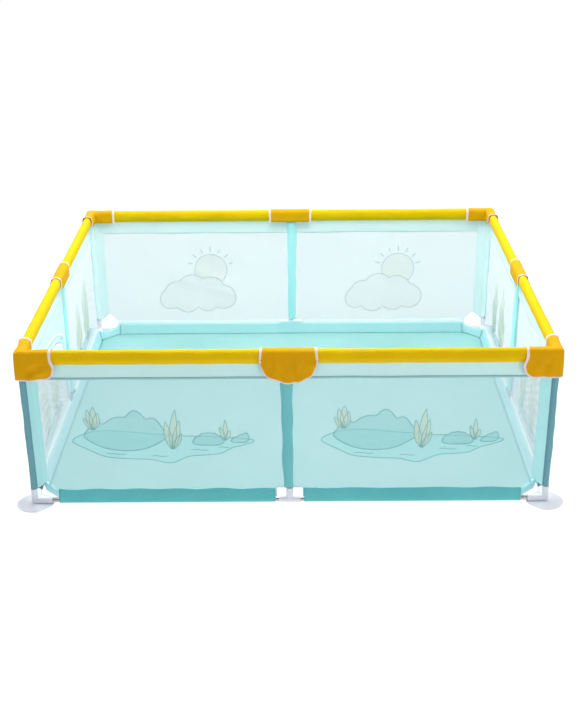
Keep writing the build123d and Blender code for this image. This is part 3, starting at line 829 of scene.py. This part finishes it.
def cornerSleeve(corner, seed):
    signX, signY = corners[corner]
    u, v, finish = cornerLoop()
    away = np.maximum(u, v)
    low = postSleeveLow - 0.002 + sleeve["rise"] * ramp(away, 0.014, cornerWing)
    t = np.linspace(0, 1, sleeve["rows"])
    h = low[None] + (sleeveTop - low)[None] * t[:, None]
    wave = (0.0009 * ripples(away[None] * 6, h * 3, seed, 1.2)
            + 0.0006 * ripples(u[None] * 20, h * 9, seed + 1, 1.0)) * ramp(away, cornerWing, 0.03)[None]
    # one long crease down each wing
    crease = 0.0016 * np.exp(-((away - 0.036 - 0.003 * np.sin(9 * h)) / 0.004) ** 2)
    sideways = np.where(u > v, 1.0, 0.0)
    shift = -(wave + crease)
    pu = u[None] + shift * (1 - sideways)[None]
    pv = v[None] + shift * sideways[None]
    # the part round the tube widens at the top, over the connector's socket
    widen = 1 + sleeve["widen"] * overSocket(h) * (np.hypot(u, v) < sleeve["ring"] + 1e-6)[None]
    x, y = signX * (postX - pu * widen), signY * (postY - pv * widen)
    points = np.stack([x, y, h], -1)
    if signX * signY < 0:
        points, finish = points[:, ::-1], np.roll(finish[::-1], -1)
    return grid(points, wrapB=True, finish=finish)


sleeveGrids = [cornerSleeve(corner, 300 + number) for number, corner in enumerate(corners)]
# the wing cloth, its darker copy as painted shade over the tube, and its lighter copy as painted light inside
sleeveCloths = [fabric["sleeve"], fabric["tube"], fabric["paintedLightInside"]]
cornerSleeves = thicken(build("post_sleeves_corner", sleeveGrids, sleeveCloths), sleeve["wall"])
perimeter = 4 * cornerWing + turn * sleeve["ring"] * 0.8
place(cornerSleeves, "frame", "teal_cloth")
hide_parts("corner_post_sleeves")
4 * perimeter


def midSleeve(side, seed):
    # a flattened tube: the depth falls off as a power of one minus the square across
    t = np.linspace(0, 1, sleeve["rows"])
    h = postSleeveLow - 0.003 + (sleeveTop + 0.003 - postSleeveLow) * t
    angle = np.linspace(0, turn, 40, endpoint=False)
    c, k = np.cos(angle), np.sin(angle)
    right = sleeve["right"] + 0.0022 * overSocket(h) + 0.0014 * ripples(t, 0 * t, seed, 3.0)
    left = sleeve["left"] + 0.0085 * t + 0.0016 * ripples(t, 0 * t, seed + 1, 3.0)
    wide = np.where(c[None] > 0, right[:, None], left[:, None])
    s = wide * c[None]
    depth = (tubeRadius + 0.0018 + 0.0045 * overSocket(h))[:, None] * (np.sign(k) * np.abs(k) ** 1.35)[None]
    fold = 0.0011 * ripples(s * 12, h[:, None] * 4, seed + 2, 1.3)
    n = depth * (1 + 0.08 * ripples(t, 0 * t, seed + 3, 2.0)[:, None]) + fold * k[None]
    # the inner half takes the light aqua wing cloth, painted light on faces turned to the inside
    return grid(side.at(s, h[:, None] + 0 * s, n), wrapB=True, finish=np.where(k < -0.02, 1, 0))


sleeveGrids = [midSleeve(side, 340 + 7 * number) for number, side in enumerate(sides.values())]
midSleeves = thicken(build("post_sleeves_mid", sleeveGrids, [fabric["mid"], fabric["sleeve"]]), sleeve["wall"])
place(midSleeves, "frame", "teal_cloth")
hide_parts("mid_post_sleeves")
4 * sleeve["midRound"]


# ---- sleeves on the bottom tubes ----
lower = {"cornerGap": 0.094, "midGap": 0.055, "step": 0.010, "around": 34, "round": 0.132}


def bottomRun(side, start, end, seed):
    # round under the tube, drawn up to a narrow seam: the width is a power of the cosine above
    s = np.linspace(start, end, int((end - start) / lower["step"]))
    angle = np.linspace(0, turn, lower["around"], endpoint=False)
    c, k = np.cos(angle), np.sin(angle)
    radius = lowZ - bottomSleeveLow
    above = k > 0
    n = radius * np.sign(c) * np.where(above, np.abs(c) ** 1.9, np.abs(c))
    h = np.where(above, (bottomSleeveHigh - lowZ) * k, radius * k)
    a, b = s[:, None], (angle / turn)[None]
    pull = 0.0011 * ripples(a * 5, b * 2, seed, 1.3) + 0.0007 * ripples(a * 16, b, seed + 1, 1.4)
    slack = np.abs(c)[None] ** 0.5 * np.clip(k + 0.5, 0.15, 1)[None]
    n = n[None] + np.sign(c)[None] * np.abs(pull) * slack
    high = 0.0014 * ripples(s * 4, 0 * s, seed + 2, 1.2)[:, None] * np.clip(k, 0, 1)[None] ** 3
    # the inner half takes the lighter copy of the teal cloth, painted light on faces turned to the inside
    return grid(side.at(s[:, None], lowZ + h[None] + high, n), wrapB=True, finish=np.where(c < -0.02, 1, 0))


bottomGrids = []
for index, side in enumerate(sides.values()):
    for bay in (-1, 1):
        ends = sorted((bay * lower["midGap"], bay * (side.half - lower["cornerGap"])))
        bottomGrids.append(bottomRun(side, *ends, 380 + 5 * index + bay))
bottomSleeves = thicken(build("bottom_sleeve_cloth", bottomGrids, [fabric["teal"], fabric["paintedLightInside"]]), 0.0009)
place(bottomSleeves, "frame", "teal_cloth")
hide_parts("bottom_sleeves")
print("sleeves fitted")

# ---- floor cloth, its edges turned up behind the bottom sleeves ----
mat = {"inset": 0.0245, "cut": 0.080, "low": 0.0028, "top": 0.054, "topIn": 0.0135, "postIn": 0.0155,
       "postRise": 0.012, "notchHalf": 0.050, "notchDeep": 0.100, "thick": 0.0012, "spare": 0.04}


def matWave(x, y):
    return 0.0009 * np.clip(ripples(x, y, 500, 1.1) + 0.4 * ripples(x, y, 503, 3.5), 0, 2)


def matRise(side, start, end):
    # from the floor line to the upper edge: the height is a power of the way up
    s = np.linspace(start, end, int((end - start) / 0.012))
    t = np.linspace(0, 1, 9)[None]
    byPost = 1 - ramp(np.abs(s), 0.052, 0.066)
    inward = mat["topIn"] + (mat["postIn"] - mat["topIn"]) * byPost
    top = mat["top"] + mat["postRise"] * byPost
    n = -mat["inset"] + (mat["inset"] - inward)[:, None] * t
    foot = side.at(s, 0.0, -mat["inset"])
    low = mat["low"] + matWave(foot[:, 0], foot[:, 1])
    h = low[:, None] + (top - low)[:, None] * t ** 1.3
    # the raised edge takes the lighter rim copy of the mat cloth: painted light
    return grid(side.at(s[:, None], h, n)[:, ::-1], finish=1)


def matCorner(signX, signY):
    # a low gusset along the cut corner: its upper edge dips by a sine between the two side edges
    p, t = np.linspace(0, 1, 15)[:, None], np.linspace(0, 1, 6)[None]
    near, far = mat["inset"], mat["inset"] + mat["cut"]
    footU, footV = far + (near - far) * p, near + (far - near) * p
    rimU, rimV = far + (mat["topIn"] - far) * p, mat["topIn"] + (far - mat["topIn"]) * p
    h = mat["low"] + (mat["top"] - 0.016 * np.sin(math.pi * p) - mat["low"]) * t ** 1.3
    u, v = footU + (rimU - footU) * t, footV + (rimV - footV) * t
    points = np.stack([signX * (postX - u), signY * (postY - v), h], -1)
    # the gusset takes the lighter rim copy of the mat cloth: painted light
    return grid(points[::-1] if signX * signY > 0 else points, finish=1)


reachX, reachY = postX - mat["inset"], postY - mat["inset"]
# the cloth is cut out round the front's middle connector
notch = mat["notchHalf"]
x = np.concatenate([np.linspace(-reachX, -notch, 58), np.linspace(-notch, notch, 8)[1:-1],
                    np.linspace(notch, reachX, 58)])
nearY = reachY - np.maximum(0, np.abs(x) - (reachX - mat["cut"]))
notchEnd = mat["notchDeep"] / reachY - 1
y = np.concatenate([np.linspace(-1, notchEnd, 12)[:-1], np.linspace(notchEnd, 1, 96)])[None] * nearY[:, None]
across = x[:, None] + 0 * y
floorPoints = np.stack([across, y, mat["low"] + matWave(across, y)], -1)
inNotch = (np.abs(x[:-1] + x[1:])[:, None] < 2 * notch) & (np.arange(y.shape[1] - 1)[None] < 11)
matGrids = [grid(floorPoints, uv=floorPoints[..., :2].copy(), keep=~inNotch)]
for name, side in sides.items():
    end = side.half - mat["inset"] - mat["cut"]
    if name == "front":
        matGrids += [matRise(side, -end, -notch), matRise(side, notch, end)]
    else:
        matGrids.append(matRise(side, -end, end))
matGrids += [matCorner(*signs) for signs in corners.values()]
# the mat cloth, with its lighter copy as painted light on the raised edges
floorCloth = thicken(build("floor_cloth", matGrids, [fabric["mat"], fabric["rim"]]), mat["thick"], -1.0)
place(floorCloth, "frame", "floor_cloth")
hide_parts("base_mat", "mat_edges")
2 * postX + mat["spare"]
print("floor laid")

# ---- corner covers ----
cover = {"reach": 0.112, "wall": 0.0012, "half": 0.0208, "shoulder": 0.015, "skirtRound": 0.042,
         "innerTurn": 0.003, "outerTurn": 0.015, "crease": 0.0052, "flareOut": 0.009,
         "tape": (0.0056, 0.0030, 0.0016), "flat": (0.265, 0.2), "area": 0.0425}
innerLow = railLow + 0.001


def coverProfile(half, low, high, shoulder):
    # across the rail from the inner lower edge up, over two quarter rounds, and down outside
    quarter = np.linspace(0, math.pi / 2, 7)
    inner = np.stack([np.full(6, -half), np.linspace(low, high - shoulder, 6, endpoint=False)], -1)
    first = np.stack([-half + shoulder * (1 - np.cos(quarter)),
                      high - shoulder + shoulder * np.sin(quarter)], -1)
    top = np.stack([np.linspace(-half + shoulder, half - shoulder, 5)[1:-1], np.full(3, high) + 0.0006], -1)
    second = np.stack([half - shoulder + shoulder * np.sin(quarter),
                       high - shoulder + shoulder * np.cos(quarter)], -1)
    return np.concatenate([inner, first, top, second])


def cornerCover(corner, seed):
    d = cover
    signX, signY = corners[corner]
    profile = coverProfile(d["half"], innerLow, coverHigh - 0.0012, d["shoulder"])
    skirtRows = 18
    n = np.concatenate([profile[:, 0], np.full(skirtRows, d["half"])])
    # stations: along one arm, round the corner, along the other
    arm, bend = 20, 13
    radius = d["innerTurn"] + (d["outerTurn"] - d["innerTurn"]) * (n + d["half"]) / (2 * d["half"])
    t = np.linspace(0, 1, arm, endpoint=False)
    firstU = d["reach"] + t[:, None] * (-n + radius - d["reach"])[None]
    angle = np.linspace(0, math.pi / 2, bend)
    cu = (-n + radius)[None]
    arcU = cu - radius[None] * np.sin(angle)[:, None]
    arcV = cu - radius[None] * np.cos(angle)[:, None]
    u = np.concatenate([firstU, arcU, np.tile(-n, (arm, 1))])
    v = np.concatenate([np.tile(-n, (arm, 1)), arcV, firstU[::-1]])
    away = np.maximum(u, v)
    # the skirt's lower edge rises in a quarter circle at both ends
    last = np.clip(away - (d["reach"] - d["skirtRound"]), 0, d["skirtRound"])
    low = coverLow + d["skirtRound"] - np.sqrt(d["skirtRound"] ** 2 - last ** 2)
    shoulderZ = profile[-1, 1]
    z = np.tile(np.concatenate([profile[:, 1], np.zeros(skirtRows)]), (len(u), 1))
    down = np.linspace(0, 1, skirtRows + 1)[1:]
    z[:, -skirtRows:] = shoulderZ + (low[:, -skirtRows:] - shoulderZ) * down[None]
    # the lower ends reach further along the rail
    skirtWay = np.concatenate([np.zeros(len(profile)), down])[None]
    further = d["flareOut"] * ramp(away, 0.05, d["reach"]) * ramp(skirtWay, 0.25, 0.9)
    u, v = u + np.where(u > v, further, 0), v + np.where(v > u, further, 0)
    base = np.stack([u, v, z], -1)
    # faces: from arm one to arm two, profile from inside over to outside
    normal = gridNormals(base)
    # creases fan out from the top of the corner
    fan = np.arctan2(coverHigh + 0.02 - z, away + 0.01)
    folds = (np.sin(11 * fan + 1.2 * ripples(away * 5, z * 5, seed, 1.0))
             + 0.6 * ripples(u * 9 + v * 9, z * 14, seed + 1, 1.0))
    push = (d["crease"] * folds * (0.2 + 0.8 * skirtWay) * ramp(away, 0.0, 0.04)
            + 0.0064 * skirtWay * (1 - skirtWay))
    flare = 0.0022 * skirtWay ** 2
    edge = np.minimum(np.arange(len(u)), np.arange(len(u))[::-1])[:, None]
    push = push * ramp(edge, -0.5, 5) + flare + 0.0020 * np.exp(-edge / 2.0)
    # pushed away from the rail inside it
    points = base + normal * (np.sign(topNormal(base, len(base) // 4)) * push)[..., None]
    return np.stack([signX * (postX - points[..., 0]), signY * (postY - points[..., 1]), points[..., 2]], -1)


def topNormal(points, row):
    # a cover's fifteenth column runs along its top
    return gridNormals(points)[row, 15][2]


def pipingAround(world, tape):
    # flat tape round both ends, narrower along the outer lower edge
    normal = gridNormals(world)
    path = np.concatenate([world[0], world[1:-1, -1], world[-1, ::-1]])
    facing = np.concatenate([normal[0], normal[1:-1, -1], normal[-1, ::-1]])
    wide = np.concatenate([np.full(world.shape[1], tape[0]), np.full(len(world) - 2, tape[1]),
                           np.full(world.shape[1], tape[0])])
    keep = np.concatenate([[True], np.diff(lengths(path)) > 1e-5])
    wide = np.convolve(np.pad(wide, 2, mode="edge"), np.full(5, 0.2), "valid")
    return tapeGrid(path[keep], facing[keep], wide[keep], tape[2])


for number, corner in enumerate(corners):
    world = cornerCover(corner, 600 + 3 * number)
    if topNormal(world, len(world) // 4) < 0:
        world = world[::-1]
    cloth = build("corner_cover_cloth_" + corner, [grid(world)], [fabric["cover"]])
    thicken(cloth, cover["wall"], -1.0)
    trim = build("corner_cover_piping_" + corner, [pipingAround(world, cover["tape"])], [fabric["piping"]])
    place(cloth, "frame", "yellow_cover")
    place(trim, "frame", "piping")
    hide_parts("corner_cover_" + corner)
print("corners covered")

# ---- middle covers: one cloth over the rail, with its outer shield ----
shield = {"innerHalf": 0.097, "topHalf": 0.1, "outerHalf": 0.105, "outer": 0.0207, "shoulder": 0.0150,
          "tape": (0.0050, 0.0030, 0.0016), "fold": 0.0080, "wall": 0.0009,
          "flat": (0.21, 0.245), "area": 0.0475}


def midCover(side, seed):
    d = shield
    # the outer face stays past the hinge line
    profile = coverProfile(d["outer"], innerLow, coverHigh - 0.0012, d["shoulder"])
    rows = 24
    n = np.concatenate([profile[:, 0], np.full(rows, d["outer"])])
    way = np.linspace(0, 1, len(n))
    half = np.interp(way, [0, 0.4, 0.8, 1], [d["innerHalf"], d["topHalf"], d["outerHalf"], d["outerHalf"]])
    x = np.linspace(-1, 1, 57)
    s = x[:, None] * half[None]
    # the lower edge: a blunt point, with a small step up on the left
    bottom = (flapTip + 0.003 + 0.032 * np.abs(x) + 0.040 * np.abs(x) ** 10
              + 0.006 * np.exp(-((x + 0.45) / 0.2) ** 2) + 0.0016 * ripples(x, 0 * x, seed, 1.2))
    down = np.linspace(0, 1, rows + 1)[1:]
    shoulderZ = profile[-1, 1]
    z = np.tile(np.concatenate([profile[:, 1], np.zeros(rows)]), (len(x), 1))
    z[:, -rows:] = shoulderZ + (bottom[:, None] - shoulderZ) * down[None]
    # the sides of the shield draw in towards its tip
    drawn = np.concatenate([np.zeros(len(profile)), down])[None]
    s = s * (1 - 0.06 * drawn ** 2.2 * np.abs(x)[:, None] ** 3)
    # one slanting fold right of the middle, a weaker one on the left, and soft ones between
    folds = (np.exp(-((x[:, None] - 0.22 - 0.18 * drawn) / 0.1) ** 2)
             + 0.6 * np.exp(-((x[:, None] + 0.45) / 0.13) ** 2)
             + 0.5 * np.clip(ripples(x[:, None], drawn, seed + 1, 1.4), 0, 2))
    push = d["fold"] * folds * ramp(drawn, -0.05, 0.5) + 0.0045 * np.sin(math.pi * np.clip(drawn, 0, 1)) * 0.6
    push = push + 0.004 * drawn ** 3 * (1 - x[:, None] ** 2)
    lift = 0.0006 * ripples(x[:, None] * 2, way[None] * 2, seed + 2, 1.3) * (1 - ramp(drawn, 0, 0.05))
    zTop = z + np.abs(lift) * (np.abs(n)[None] < d["outer"] - 0.002)
    return side.at(s, zTop, n[None] + push)


for number, (name, side) in enumerate(sides.items()):
    world = midCover(side, 700 + 5 * number)
    if topNormal(world, len(world) // 2) < 0:
        world = world[::-1]
    cloth = thicken(build("mid_cover_cloth_" + name, [grid(world)], [fabric["cover"]]), shield["wall"], 1.0)
    trim = build("mid_cover_piping_" + name, [pipingAround(world, shield["tape"])], [fabric["piping"]])
    hinge = side.at(0.0, flapHinge, 0.0)
    for piece in (cloth, trim):
        "mid_flap_" + name
        tuple(hinge + 0.0175 * side.outward)
        tuple(hinge + 0.0205 * side.outward)
        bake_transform(piece)
    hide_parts("mid_cover_saddles", "mid_cover_flap_" + name)
    "padded_rail_" + name
print("middles covered")


# ---- floor, light and camera ----
def stageFloor():
    mesh = bpy.data.meshes.new("studio_floor")
    reach = 90.0
    mesh.from_pydata([(-reach, -reach, 0), (reach, -reach, 0), (reach, reach, 0), (-reach, reach, 0)], [],
                     [(0, 1, 2, 3)])
    r = Recipe("studioPaper")
    mesh.materials.append(r.finish(Base_Color=rgb(0.18, 0.18, 0.18), Roughness=0.9, Specular_IOR_Level=0.0,
                                   Emission_Color=rgb(1, 1, 1), Emission_Strength=0.92))
    floor = bpy.data.objects.new("studio_floor", mesh)
    bpy.context.scene.collection.objects.link(floor)


def softbox(name, place, aim, size, power):
    light = bpy.data.lights.new(name, "AREA")
    light.shape, light.size, light.energy = "DISK", size, power
    lamp = bpy.data.objects.new(name, light)
    bpy.context.scene.collection.objects.link(lamp)
    lamp.location = place
    lamp.rotation_mode = "QUATERNION"
    way = np.array(aim, float) - np.array(place, float)
    lamp.rotation_quaternion = Vector(way).to_track_quat("-Z", "Y")


stageFloor()
studio = {"horizon": 0.30, "zenith": 0.50}
# place, aim, size and power of each lamp
softboxes = {
    "softbox_top": ((0.0, -0.1, 2.7), (0, 0, 0), 2.0, 62.0),
    "softbox_back": ((0.0, 4.4, 3.7), (0, 0.2, 0), 4.5, 220.0),
    "softbox_left": ((-4.2, 1.2, 2.6), (0, 0, 0.3), 3.0, 60.0),
    "softbox_right": ((4.2, 1.2, 2.6), (0, 0, 0.3), 3.0, 60.0),
    "softbox_front": ((3.0, -5.0, 0.5), (0, -0.9, 0.4), 2.0, 40.0),
}
for name, values in softboxes.items():
    softbox(name, *values)
world = bpy.data.worlds.new("studio")
world.use_nodes = True
sky = world.node_tree.nodes
way = sky.new("ShaderNodeTexCoord")
height = sky.new("ShaderNodeSeparateXYZ")
# the light falls off from overhead to the level of the floor
fall = sky.new("ShaderNodeMapRange")
world.node_tree.links.new(way.outputs["Generated"], height.inputs[0])
world.node_tree.links.new(height.outputs[2], fall.inputs["Value"])
fall.inputs["To Min"].default_value = studio["horizon"]
fall.inputs["To Max"].default_value = studio["zenith"]
world.node_tree.links.new(fall.outputs[0], sky["Background"].inputs["Strength"])
sky["Background"].inputs["Color"].default_value = rgb(1, 1, 1)
bpy.context.scene.world = world

view = {"place": (0.0353, -4.9963, 2.3729), "pitch": 26.22, "yaw": -0.364, "roll": -0.5, "lens": 61.83,
        "shiftUp": 0.0872}


def cameraTurn(pitch, yaw, roll):
    # three axes of the camera: right, up and back, from a heading, a tilt down and a turn about the view
    p, w, q = (math.radians(v) for v in (pitch, yaw, roll))
    ahead = np.array([math.sin(w) * math.cos(p), math.cos(w) * math.cos(p), -math.sin(p)])
    right = np.array([math.cos(w), -math.sin(w), 0.0])
    above = np.cross(right, ahead)
    right, above = right * math.cos(q) + above * math.sin(q), above * math.cos(q) - right * math.sin(q)
    return np.stack([right, above, -ahead], 1)


lens = bpy.data.cameras.new("camera")
lens.sensor_width, lens.lens, lens.shift_y = 36.0, view["lens"], view["shiftUp"]
lens.clip_end = 400.0
camera = bpy.data.objects.new("camera", lens)
bpy.context.scene.collection.objects.link(camera)
camera.location = view["place"]
camera.rotation_mode = "QUATERNION"
axes = cameraTurn(view["pitch"], view["yaw"], view["roll"])
camera.rotation_quaternion = Matrix(axes.tolist()).to_quaternion()
bpy.context.scene.camera = camera
bpy.context.scene.view_settings.view_transform = "Standard"
print("studio set")
